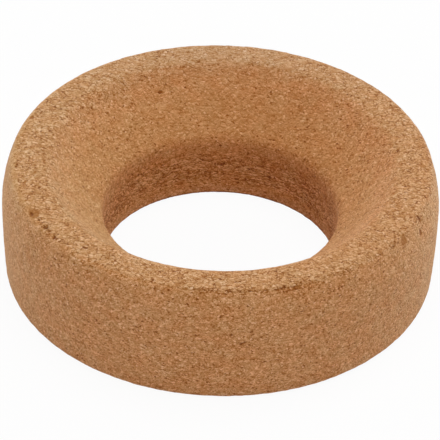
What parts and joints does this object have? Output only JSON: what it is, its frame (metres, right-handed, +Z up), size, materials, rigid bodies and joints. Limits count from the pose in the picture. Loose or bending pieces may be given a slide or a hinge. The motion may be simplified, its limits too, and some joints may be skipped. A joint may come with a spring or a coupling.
{
  "type": "cork ring",
  "caption": "Round stand of pressed cork granules for a round-bottomed flask: flat rim, conical seat, straight bore and a bowed outer wall.",
  "frame": {"origin": "centre of the foot, on the surface that the ring stands on", "axes": "+Z up along the bore's axis, towards the seat"},
  "size_m": [0.11, 0.11, 0.032],
  "materials": {
    "cork": "matt pressed granules, cut and left bare"
  },
  "bodies": {
    "root": {"cork_ring": "cork"}
  },
  "joints": []
}
